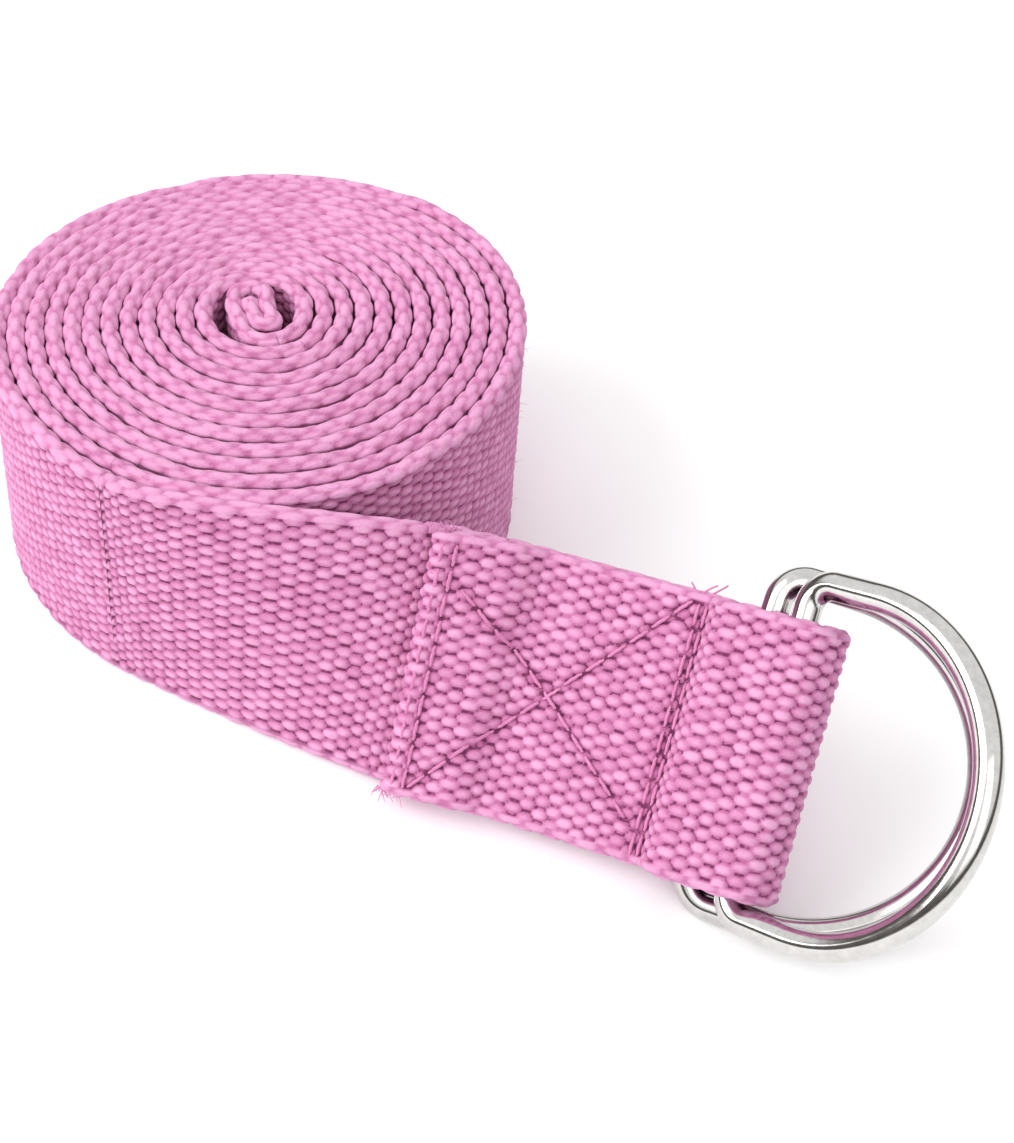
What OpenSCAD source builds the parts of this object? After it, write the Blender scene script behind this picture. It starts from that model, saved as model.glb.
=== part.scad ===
// Stretching strap: cotton webbing rolled into a coil that stands on its edge, with a sewn lap
// that holds two D-rings.
// The origin is the middle of the coil's outer turn, on the surface it stands on. +Z is up, and
// the lap and its rings point along +X.

/* [Webbing] */
// Width of the webbing
web_w = 38; // [30:1:50]
// Thickness of the webbing
web_t = 2.24; // [1.6:0.04:2.32]
// Gap left between layers that lie on each other
layer_gap = 0.06; // [0.04:0.01:0.12]

/* [Coil] */
// Turns between the run and the free end
coil_turns = 11.85; // [8.85:1:12.85]
// Mean radius of the hollow inside the last turn
hollow_r = 5.78; // [5.6:0.02:8]
// Mean gap left between one turn and the next
turn_gap = 0.56; // [0.5:0.01:0.8]
// Direction from the coil's middle to the place where the run leaves it
leave_dir = -98; // [-104:1:-92]
// Drift of the turns' middle towards the hollow along X
hollow_x = -2.9; // [-4:0.1:0]
// Drift of the turns' middle towards the hollow along Y
hollow_y = 3; // [0:0.1:4]
// Out-of-round of the outer turn, with two high sides
oval = 0.75; // [0:0.05:1]
// Direction of the oval's high side
oval_dir = 78; // [0:1:180]
// Out-of-round of the outer turn, with three high sides
lobe = 0.8; // [0:0.05:1]
// Direction of one of the three high sides
lobe_dir = 61.5; // [0:0.5:120]
// Out-of-round of the innermost turn, on top of the outer turn's own
hollow_oval = 0.6; // [0:0.05:0.8]
// Direction of the hollow's long axis
hollow_dir = 125; // [0:1:180]

/* [Free end] */
// Inner radius of the free end's turn at the top of the hollow
curl_inner_r = 1.38; // [1.3:0.01:1.48]
// Length of the free end's leg that crosses the hollow
curl_leg = 5.8; // [4.8:0.1:6]
// Inner radius of the fold that turns the end under
end_fold_inner_r = 0.1; // [0.06:0.01:0.18]
// Length of webbing turned under at the free end
end_hem_len = 5.2; // [3:0.1:5.2]

/* [Run] */
// Length of the run's plan from the coil to the lap, along X
run_x = 46.4; // [42:0.2:60]
// Distance that the lap lies forward of the place where the run leaves the coil
run_out = 5.443; // [4:0.1:12]
// Length of the easing at each end of the run
run_ease = 10; // [6:0.5:14]
// Lean of the lap away from upright
lap_lean = 44; // [30:1:50]
// Ease of the twist: its length over the root of the width times the coil's radius times the lean
twist_ease = 0.2553; // [0.25:0.001:0.3]
// Length of the run that stays upright before it twists
twist_start = 3; // [3:0.5:8]
// Slope of the lap, rising towards the rings
lap_rise = 4.5; // [0:0.1:8]
// Turn of the lap in plan away from +X, towards the front
lap_turn = 2.4; // [0:0.1:6]

/* [Lap] */
// Distance from the lap's folded edge to the seam beside the rings
lap_len = 38.6; // [34:0.2:50]
// Length of webbing turned under at the lap's edge
hem_len = 10; // [7:0.5:12]
// Length over which the lap steps down past the turned-under end
hem_step = 5; // [4:0.5:7]
// Room in the loop between the rear ring's bar and the place where the loop has opened
loop_room = 1.56; // [1:0.1:8]
// Length over which the loop opens beside the seam
loop_open = 3.6; // [3:0.1:4.5]

/* [Rings] */
// Diameter of the ring wire
wire_d = 4; // [3:0.1:4.2]
// Clearance between a ring's side and the webbing's edge
ring_side_clear = 2.2; // [1.9:0.1:6]
// Distance from the bar's axis to the middle of the bow
bow_x = 10.4; // [8:0.1:14]
// Radius of the wire's middle at the corners of the bar
corner_r = 3.6; // [3:0.1:4]
// Clearance between a bar and the webbing loop
bar_clear = 0.3; // [0.25:0.05:0.4]
// Gap between the two bars along the strap
bar_space = 1.6; // [1.2:0.1:2.5]
// Height of the front bar above the rear bar, as a share of the wire's diameter
bar_stack_share = 0.85; // [0.8:0.01:1]
// Slide of both rings across the webbing, up from the middle
ring_slide = 1.4; // [0:0.1:1.4]
// Swing of the front ring, forward from the plane of the strap
front_swing = 26; // [20:1:40]
// Swing of the rear ring, back from the plane of the strap
rear_swing = 5; // [4:1:30]
// Slant of the rear ring's bar in the plane of the strap
rear_slant = 2.5; // [0:0.5:4]

/* [Sewing] */
// Diameter of the sewing thread
thread_d = 0.5; // [0.3:0.05:0.7]
// Length of one stitch
stitch_len = 3; // [2:0.25:4]
// Gap between one stitch and the next
stitch_gap = 0.5; // [0.3:0.1:1]
// Distance from the lap's edge to its outer seam row
edge_row = 2.2; // [1.5:0.1:4]
// Distance between the two rows of the seam at the lap's edge
edge_row_gap = 1.7; // [1:0.1:2.5]
// Distance between the two rows of the seam beside the rings
ring_row_gap = 1.1; // [0.8:0.1:2]
// Distance that the seams stop short of the webbing's edges
seam_inset = 1; // [0.5:0.1:3]
// Length of the longer loose thread end
tail_len = 3.2; // [1:0.1:6]

/* [Hidden] */

PINK = [0.86, 0.49, 0.73];
THREAD = [0.72, 0.33, 0.57];
STEEL = [0.80, 0.80, 0.80];

half_t = web_t / 2;
wire_r = wire_d / 2;
turn_pitch = web_t + turn_gap;
coil_r = hollow_r + web_t + turn_pitch * coil_turns;
curl_r = curl_inner_r + half_t;
end_fold_r = end_fold_inner_r + half_t;
twist_len = twist_ease * sqrt(web_w * coil_r * lap_lean);
ring_w = web_w + 2 * ring_side_clear;
bar_gap = wire_d + bar_space;
bar_stack = wire_d * bar_stack_share;
thread_r = thread_d / 2;
eps = 0.001;

// ---- General helpers ----

function unit(p) = p / norm(p);
function smooth01(t) = let (c = max(0, min(1, t))) c * c * (3 - 2 * c);
function side2(d) = [-d[1], d[0]];
function reversed(list) = [for (i = [len(list) - 1:-1:0]) list[i]];
function total(list, i = 0) = i >= len(list) ? 0 : list[i] + total(list, i + 1);
// Directions of a path at its points, open at both ends
function headings(path) = [
    for (i = [0:len(path) - 1])
        unit(path[min(i + 1, len(path) - 1)] - path[max(i - 1, 0)])
];
// ---- The wound turns ----

coil_steps = 36;

// Outer face of the webbing, the given number of turns in from the run
function coil_face(turn) =
    let (
        dir = leave_dir - 360 * turn,
        r = coil_r - turn_pitch * turn,
        wave = oval * cos(2 * (dir - oval_dir)) + lobe * cos(3 * (dir - lobe_dir)),
        drift = turn / coil_turns,
        rr = r * (1 + wave * r / (coil_r * coil_r)) + hollow_oval * pow(drift, 3) * cos(2 * (dir - hollow_dir))
    )
    [hollow_x * drift + rr * cos(dir), hollow_y * drift + rr * sin(dir)];
// Direction towards the run, along that face
function coil_heading(turn) = unit(coil_face(turn - eps) - coil_face(turn + eps));
// A point under the outer face, inside the webbing
function coil_point(turn, depth) = coil_face(turn) + depth * side2(coil_heading(turn));

// ---- The curled free end ----

walk_step = 0.6;
// Points along a chain of arcs, each given by its length and the angle it turns through
function walk(p, head, moves, i = 0, k = 0) =
    i >= len(moves) ? [p] :
    let (
        count = ceil(moves[i][0] / walk_step),
        mid = head + moves[i][1] / count / 2,
        next = p + moves[i][0] / count * [cos(mid), sin(mid)],
        done = k + 1 >= count
    )
    concat([p], walk(next, head + moves[i][1] / count, moves, done ? i + 1 : i, done ? 0 : k + 1));

// Out of the last turn, up across the hollow, round its top, down again and under at the fold
curl_moves = [
    [6, -94], [curl_leg, -6], [2.6, -16],
    [PI * curl_r, -180],
    [3.2, 22], [curl_leg - 3.8, 0],
    [PI * end_fold_r, -180],
    [3, -2], [end_hem_len - 3, -16]
];
curl_heading = -coil_heading(coil_turns);
curl_path = walk(
    coil_point(coil_turns, half_t),
    atan2(curl_heading[1], curl_heading[0]),
    curl_moves);
// Place on the leg beside the fold where the end is sewn down
sewn_leg = walk(
    coil_point(coil_turns, half_t),
    atan2(curl_heading[1], curl_heading[0]),
    [for (i = [0:4]) curl_moves[i]]);

// ---- The path of the run and the lap ----

run_start = coil_face(0);
run_start_dir = coil_heading(0);
lap_dir = [cos(lap_rise) * cos(lap_turn), -cos(lap_rise) * sin(lap_turn), sin(lap_rise)];
lap_x = run_start[0] + run_x;
lap_y = run_start[1] - run_out;

// Point and direction of the webbing's lower front edge, at a distance from the lap's folded edge
function run_handles(z) = [
    [run_start[0], run_start[1], 0],
    [run_start[0] + run_ease * run_start_dir[0], run_start[1] + run_ease * run_start_dir[1], 0],
    [lap_x, lap_y, z] - run_ease * lap_dir,
    [lap_x, lap_y, z]
];
function bezier(h, u) =
    pow(1 - u, 3) * h[0] + 3 * u * pow(1 - u, 2) * h[1] + 3 * u * u * (1 - u) * h[2] + pow(u, 3) * h[3];
function bezier_dir(h, u) =
    unit(pow(1 - u, 2) * (h[1] - h[0]) + 2 * u * (1 - u) * (h[2] - h[1]) + u * u * (h[3] - h[2]));

// Front ring and rear ring, measured from the lap's folded edge
loop_half = (bar_stack + wire_d) / 2 + bar_clear;
loop_mid = loop_half + half_t;
fold_s = lap_len + loop_open + loop_room + wire_r + bar_gap;
front_s = fold_s;
rear_s = front_s - bar_gap;
ring_mid = web_w / 2 + ring_slide;
bow_r = ring_w / 2 + wire_r;

// Axes of the lap beyond the twist: along it, across it and out of its front
function lean_axes(dir, lean) =
    let (
        back = unit([-dir[1], dir[0], 0]),
        up = cross(dir, back)
    )
    [dir, up * cos(lean) + back * sin(lean), up * sin(lean) - back * cos(lean)];
lap_axes = lean_axes(lap_dir, lap_lean);

// Height of the lap's folded edge that keeps the lap's back and both rings above the surface
function swung(axes, slant, swing) =
    let (
        out = axes[0] * cos(slant) - axes[1] * sin(slant),
        bar = axes[0] * sin(slant) + axes[1] * cos(slant)
    )
    [out * cos(swing) + axes[2] * sin(swing), bar, axes[2] * cos(swing) - out * sin(swing)];
rear_axes = swung(lap_axes, rear_slant, -rear_swing);
front_axes = swung(lap_axes, 0, front_swing);
function bow_low(axes) = min([
    for (a = [-90:0.5:0])
        axes[0][2] * (bow_x + bow_r * cos(a)) + axes[1][2] * bow_r * sin(a)
]) - wire_r;
function bar_height(s, n) = s * lap_axes[0][2] + ring_mid * lap_axes[1][2] + n * lap_axes[2][2];
lap_z = max(web_t * lap_axes[2][2],
    -bar_height(rear_s, -bar_stack / 2) - bow_low(rear_axes),
    -bar_height(front_s, bar_stack / 2) - bow_low(front_axes));

handles = run_handles(lap_z);
run_stations = 30;
run_points = [for (i = [0:run_stations]) bezier(handles, i / run_stations)];
run_len = total([for (i = [1:run_stations]) norm(run_points[i] - run_points[i - 1])]);

// Webbing axes and a point on it: s along from the lap's edge, v up across it, n out of its front
function web_axes(s) =
    lean_axes(
        s < 0 ? bezier_dir(handles, 1 + s / run_len) : lap_dir,
        lap_lean * smooth01((s + run_len - twist_start) / twist_len));
function edge_point(s) = s < 0 ? bezier(handles, 1 + s / run_len) : handles[3] + s * lap_dir;
function web_point(s, v, n) = let (a = web_axes(s)) edge_point(s) + v * a[1] + n * a[2];

// ---- Shapes ----

// A closed outline of webbing seen on its edge, on each side of a flat path
function banded(path) =
    let (d = headings(path))
    concat(
        [for (i = [0:len(path) - 1]) path[i] + half_t * side2(d[i])],
        reversed([for (i = [0:len(path) - 1]) path[i] - half_t * side2(d[i])])
    );

// Webbing that follows the run's and the lap's axes; the path gives s and n for its middle line
module web_band(path) {
    d = headings(path);
    n = len(path);
    rings = [
        for (i = [0:n - 1])
            let (w = half_t * side2(d[i]), p = path[i] + w, q = path[i] - w)
            each [
                web_point(p[0], 0, p[1]), web_point(p[0], web_w, p[1]),
                web_point(q[0], web_w, q[1]), web_point(q[0], 0, q[1])
            ]
    ];
    sides = [
        for (i = [0:n - 2], k = [0:3])
            let (a = 4 * i + k, b = 4 * i + (k + 1) % 4)
            each [[a, a + 4, b + 4], [a, b + 4, b]]
    ];
    ends = [[0, 1, 2], [0, 2, 3], [4 * n - 2, 4 * n - 3, 4 * n - 4], [4 * n - 1, 4 * n - 2, 4 * n - 4]];
    polyhedron(points = rings, faces = concat(sides, ends), convexity = 6);
}

// A round bar between two points
module thread_bar(from, to, d) {
    span = to - from;
    len = norm(span);
    translate(from)
        rotate([0, acos(span[2] / len), atan2(span[1], span[0])])
            cylinder(d = d, h = len, $fn = 16);
}

// A row of stitches on one face of the lap, from one (s, v) to another
module stitch_row(from, to, heights) {
    span = to - from;
    count = floor((norm(span) + stitch_gap) / (stitch_len + stitch_gap));
    step = span / count;
    part = stitch_len / (stitch_len + stitch_gap);
    for (i = [0:count - 1]) {
        a = from + i * step;
        b = a + part * step;
        thread_bar(
            web_point(a[0], a[1], lookup(a[0], heights)),
            web_point(b[0], b[1], lookup(b[0], heights)),
            thread_d);
    }
}

// One D-ring, its bar along Y through the origin and its bow towards +X
module d_ring() {
    bar_half = bow_r - corner_r;
    translate([0, bar_half, 0])
        rotate([90, 0, 0])
            cylinder(r = wire_r, h = 2 * bar_half, $fn = 48);
    for (side = [0, 1])
        mirror([0, side, 0]) {
            translate([corner_r, bar_half, 0])
                rotate([0, 0, 90])
                    rotate_extrude(angle = 90, $fn = 96)
                        translate([corner_r, 0])
                            circle(r = wire_r, $fn = 48);
            translate([corner_r, bow_r, 0])
                rotate([0, 90, 0])
                    cylinder(r = wire_r, h = bow_x - corner_r, $fn = 48);
        }
    translate([bow_x, 0, 0])
        rotate([0, 0, -90])
            rotate_extrude(angle = 180, $fn = 180)
                translate([bow_r, 0])
                    circle(r = wire_r, $fn = 48);
}

module placed(axes, origin) {
    multmatrix([
        [axes[0][0], axes[1][0], axes[2][0], origin[0]],
        [axes[0][1], axes[1][1], axes[2][1], origin[1]],
        [axes[0][2], axes[1][2], axes[2][2], origin[2]],
        [0, 0, 0, 1]
    ])
        children();
}

// ---- Layers of the lap ----

front_n = half_t + layer_gap;
hem_n = front_n;
over_n = hem_n + web_t + layer_gap;
hem_fold_r = (over_n - hem_n) / 2;
hem_fold_s = half_t + hem_fold_r;
open_steps = 8;
fold_steps = 24;

// Middle line of the lap from the run, out under the rings' bars, back over them and under the hem
function lap_path() = concat(
    [for (s = [-2:4:lap_len - 2]) [s, -half_t]],
    [
        for (i = [0:open_steps])
            [lap_len + loop_open * i / open_steps,
                -half_t - (loop_mid - half_t) * smooth01(i / open_steps)]
    ],
    [
        for (i = [0:fold_steps])
            let (a = -90 + 180 * i / fold_steps)
            [fold_s + loop_mid * cos(a), loop_mid * sin(a)]
    ],
    [
        for (i = [open_steps:-1:0])
            [lap_len + loop_open * i / open_steps,
                front_n + (loop_mid - front_n) * smooth01(i / open_steps)]
    ],
    [for (i = [4:-1:1]) [hem_len + hem_step + (lap_len - hem_len - hem_step) * i / 5, front_n]],
    [
        for (i = [open_steps:-1:0])
            [hem_len + hem_step * i / open_steps,
                over_n + (front_n - over_n) * smooth01(i / open_steps)]
    ],
    [
        for (i = [1:11])
            let (a = 90 + 15 * i)
            [hem_fold_s + hem_fold_r * cos(a), (over_n + hem_n) / 2 + hem_fold_r * sin(a)]
    ],
    [for (i = [0:3]) [hem_fold_s + (hem_len - 1 - hem_fold_s) * i / 3, hem_n]]
);

// Height of the stitches above the lap's front and behind its back, along the lap
thread_lift = thread_r + 0.03;
front_face = [
    [-1, over_n + half_t + thread_lift],
    [hem_len - 2.5, over_n + half_t + thread_lift],
    [hem_len, over_n + half_t + thread_lift + 0.25],
    [hem_len + hem_step / 2, (over_n + front_n) / 2 + half_t + thread_lift + 0.75],
    [hem_len + hem_step, front_n + half_t + thread_lift + 0.35],
    [hem_len + hem_step + 2.5, front_n + half_t + thread_lift],
    [lap_len, front_n + half_t + thread_lift]
];
back_face = [[-1, -web_t - thread_lift], [lap_len, -web_t - thread_lift]];

edge_rows = [edge_row, edge_row + edge_row_gap];
ring_rows = [lap_len - ring_row_gap - thread_d, lap_len - thread_d];
cross_rows = [
    [[edge_rows[1] + 1.7, web_w * 0.8], [ring_rows[0] - 1.6, web_w * 0.14]],
    [[edge_rows[1] + 0.6, seam_inset + 0.4], [ring_rows[0] - 0.6, web_w - seam_inset]]
];

// ---- The pieces ----

module webbing_coil() {
    turns = [for (i = [0:coil_steps * coil_turns]) i / coil_steps];
    steps = concat([for (t = turns) if (t < coil_turns - 0.2 / coil_steps) t], [coil_turns]);
    color(PINK)
        linear_extrude(height = web_w, convexity = 12)
            polygon(concat(
                [for (t = steps) coil_face(t)],
                reversed([for (t = steps) coil_point(t, web_t)])
            ));
}

module webbing_free_end() {
    color(PINK)
        linear_extrude(height = web_w, convexity = 8)
            polygon(banded(curl_path));
}

module webbing_run() {
    color(PINK)
        web_band([for (i = [0:run_stations]) [-run_len + (run_len - 2) * i / run_stations, -half_t]]);
}

module webbing_ring_loop() {
    color(PINK)
        web_band(lap_path());
}

module front_d_ring() {
    color(STEEL)
        placed(front_axes, web_point(front_s, ring_mid, bar_stack / 2))
            d_ring();
}

module rear_d_ring() {
    color(STEEL)
        placed(rear_axes, web_point(rear_s, ring_mid, -bar_stack / 2))
            d_ring();
}

module lap_edge_seam() {
    color(THREAD)
        for (s = edge_rows, face = [front_face, back_face])
            stitch_row([s, seam_inset], [s, web_w - seam_inset], face);
}

module lap_cross_seam() {
    color(THREAD)
        for (row = cross_rows, face = [front_face, back_face])
            stitch_row(row[0], row[1], face);
}

module ring_side_seam() {
    color(THREAD)
        for (s = ring_rows, face = [front_face, back_face])
            stitch_row([s, seam_inset], [s, web_w - seam_inset], face);
}

// Stitches that hold the hem at the free end, on the face that lies towards the open hollow
module free_end_seam() {
    last = len(sewn_leg) - 1;
    at = sewn_leg[last] + (half_t + thread_r + 0.04) * side2(unit(sewn_leg[last] - sewn_leg[last - 1]));
    count = floor((web_w - 2 * seam_inset) / (stitch_len + stitch_gap));
    color(THREAD)
        for (i = [0:count - 1])
            translate([at[0], at[1], seam_inset + i * (stitch_len + stitch_gap)])
                cylinder(d = thread_d, h = stitch_len, $fn = 16);
}

module loose_thread_ends() {
    root = [lap_len - 1.2, web_w + 0.05, front_n];
    color(THREAD)
        for (i = [0, 1]) {
            len = tail_len * (1 - 0.5 * i);
            thread_bar(
                web_point(root[0] + 1.8 * i, root[1], root[2]),
                web_point(root[0] + 1.8 * i + len * 0.8, root[1] + len * 0.6 * (1 - i) + 0.3, root[2]),
                thread_d * 0.6);
        }
}

webbing_coil();
webbing_free_end();
webbing_run();
webbing_ring_loop();
front_d_ring();
rear_d_ring();
lap_edge_seam();
lap_cross_seam();
ring_side_seam();
free_end_seam();
loose_thread_ends();
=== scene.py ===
"""Stretching strap: a coil of cotton webbing with a sewn lap that holds two D-rings."""

import logging
import math
from dataclasses import dataclass, field
from enum import Enum
from typing import Callable, Sequence

import bpy
import numpy as np
from mathutils import Matrix, Vector


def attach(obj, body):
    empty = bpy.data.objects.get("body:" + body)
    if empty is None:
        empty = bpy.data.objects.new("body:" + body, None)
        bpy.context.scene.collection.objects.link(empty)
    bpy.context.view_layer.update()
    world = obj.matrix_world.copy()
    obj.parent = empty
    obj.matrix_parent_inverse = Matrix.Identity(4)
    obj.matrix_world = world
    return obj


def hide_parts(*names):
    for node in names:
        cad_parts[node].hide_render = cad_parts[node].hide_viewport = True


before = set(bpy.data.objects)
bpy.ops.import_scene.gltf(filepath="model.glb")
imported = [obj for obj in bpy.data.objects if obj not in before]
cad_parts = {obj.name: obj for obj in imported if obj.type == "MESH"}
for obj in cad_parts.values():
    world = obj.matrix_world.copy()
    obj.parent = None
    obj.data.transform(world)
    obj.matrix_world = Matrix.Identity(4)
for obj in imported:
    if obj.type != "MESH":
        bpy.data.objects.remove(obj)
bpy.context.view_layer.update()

log = logging.getLogger("strap")

MM = 0.001
STRAP = "strap"
# Height of the lap's lower front edge, in millimetres
LAP_FOOT_Z = 1.801
Array = np.ndarray


# ---- Small helpers ----


def unit(v: Array) -> Array:
    """Returns v scaled to length one, row by row."""
    return v / np.linalg.norm(v, axis=-1, keepdims=True)


def smooth01(t: Array) -> Array:
    """Returns the smooth step of t, held at 0 below 0 and at 1 above 1."""
    c = np.clip(t, 0.0, 1.0)
    return c * c * (3.0 - 2.0 * c)


def srgb(r: float, g: float, b: float) -> tuple[float, float, float, float]:
    """Returns a linear colour from display values of 0 to 255."""

    def one(c: float) -> float:
        """Returns one channel."""
        c /= 255.0
        return c / 12.92 if c <= 0.04045 else ((c + 0.055) / 1.055) ** 2.4

    return one(r), one(g), one(b), 1.0


def hashed(a: Array, b: Array, salt: float) -> Array:
    """Returns a repeatable value from 0 to 1 for each pair of whole numbers.

    Args:
        a: first whole numbers.
        b: second whole numbers.
        salt: picks one of many sets of values.

    Returns:
        Values of 0 to 1, in the shape of a and b together.
    """
    x = np.sin(a * 127.1 + b * 311.7 + salt * 74.7) * 43758.5453
    return x - np.floor(x)


def waves(u: Array, salt: float, longest: float, count: int = 5) -> Array:
    """Returns a slow, repeatable wander of about -1 to 1 along a length.

    Args:
        u: distances along the length, in millimetres.
        salt: picks one of many wanders.
        longest: the longest wavelength, in millimetres.
        count: how many waves are summed.

    Returns:
        The wander at each distance.
    """
    total = np.zeros_like(u, dtype=float)
    for k in range(count):
        length = longest / (1.0 + 0.83 * k)
        total += np.sin(2 * math.pi * u / length + salt * 7.3 + k * 2.1) / (1.0 + 0.6 * k)
    return total / 2.4


def mesh_object(name: str, points: Array, faces: Array | Sequence) -> bpy.types.Object:
    """Makes an object from points in millimetres.

    Args:
        name: the piece's name.
        points: n by 3 points, in millimetres, in the part's frame.
        faces: the corner numbers of each face.

    Returns:
        The object, at the origin.
    """
    mesh = bpy.data.meshes.new(name)
    rows = faces.tolist() if isinstance(faces, np.ndarray) else faces
    mesh.from_pydata((np.asarray(points, float) * MM).tolist(), [], rows)
    mesh.update()
    mesh.polygons.foreach_set("use_smooth", np.ones(len(mesh.polygons), bool))
    obj = bpy.data.objects.new(name, mesh)
    bpy.context.scene.collection.objects.link(obj)
    return obj


# ---- Webbing ----


@dataclass(frozen=True)
class Webbing:
    """The woven band: its size, its weave and how its edges are turned."""

    width: float = 38.0
    thickness: float = 2.24
    row: float = 0.95
    pick: float = 1.95
    oval_length: float = 1.24
    oval_width: float = 0.82
    relief: float = 0.56
    sunk: float = 0.36
    station: float = 0.325
    edge_points: int = 13

    @property
    def rows(self) -> int:
        """Returns how many warp threads lie side by side."""
        return round(self.width / self.row)

    def ovals(self, u: Array, r: Array, shift: int) -> tuple[Array, Array]:
        """Returns the relief of the warp threads on one face.

        Args:
            u: distances along the band, n by 1.
            r: places across it, in warp threads, 1 by m.
            shift: 0 for the front face, 1 for the back.

        Returns:
            The height from 0 to 1 and a tone of 0 to 1 for the thread on top, both n by m.
        """
        best = np.zeros(np.broadcast(u, r).shape)
        tone = np.full(best.shape, 0.5)
        nearest = np.round(u / self.pick)
        for step in (-1, 0, 1):
            column = nearest + step
            parity = np.mod(column + shift, 2)
            thread = np.round((r - parity) / 2) * 2 + parity
            size = 0.9 + 0.2 * hashed(column, thread, 1.0 + shift)
            off_u = 0.22 * (hashed(column, thread, 2.0 + shift) - 0.5)
            off_v = 0.14 * (hashed(column, thread, 3.0 + shift) - 0.5)
            du = (u - column * self.pick - off_u) / (self.oval_length * size)
            dv = ((r - thread) * self.row - off_v) / self.oval_width
            dome = np.sqrt(np.clip(1.0 - np.abs(du) ** 2.2 - dv**2, 0.0, None))
            dome = dome * (0.94 + 0.1 * du) * (0.86 + 0.28 * hashed(column, thread, 4.0 + shift))
            over = dome > best
            best = np.where(over, dome, best)
            tone = np.where(over, hashed(column, thread, 5.0 + shift), tone)
        return best, tone

    def edge_bumps(self, u: Array, angle: Array, shift: int) -> tuple[Array, Array]:
        """Returns the relief of the threads that turn round an edge.

        Args:
            u: distances along the band, n by 1.
            angle: angles round the edge from the front face to the back, 1 by m, in radians.
            shift: which of the two edges.

        Returns:
            The height from 0 to 1 and a tone of 0 to 1, both n by m.
        """
        best = np.zeros(np.broadcast(u, angle).shape)
        tone = np.full(best.shape, 0.5)
        for side, middle in enumerate((0.42, math.pi / 2, math.pi - 0.42)):
            column = np.round((u / self.pick - side - shift) / 2) * 2 + side + shift
            whole = np.full_like(column, side)
            size = 0.88 + 0.3 * hashed(column, whole, 6.0 + shift)
            off = 0.5 * (hashed(column, whole, 7.0 + shift) - 0.5)
            lean = 0.22 * (hashed(column, whole, 9.0 + shift) - 0.5)
            du = (u - column * self.pick - off) / (1.75 * size)
            da = (angle - middle - lean) / 0.74
            dome = np.sqrt(np.clip(1.0 - np.abs(du) ** 2.2 - da**2, 0.0, None)) * size
            over = dome > best
            best = np.where(over, dome, best)
            tone = np.where(over, hashed(column, whole, 8.0 + shift), tone)
        return best, tone


class Detail(Enum):
    """How finely a face of the band is modelled."""

    FULL = 3
    COARSE = 0


@dataclass
class Course:
    """A stretch of the band: its lower edge, its directions and its distance along the band."""

    foot: Array
    across: Array
    out: Array
    along: Array

    @property
    def length(self) -> float:
        """Returns the length of the stretch, in millimetres."""
        return float(abs(self.along[-1] - self.along[0]))


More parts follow.
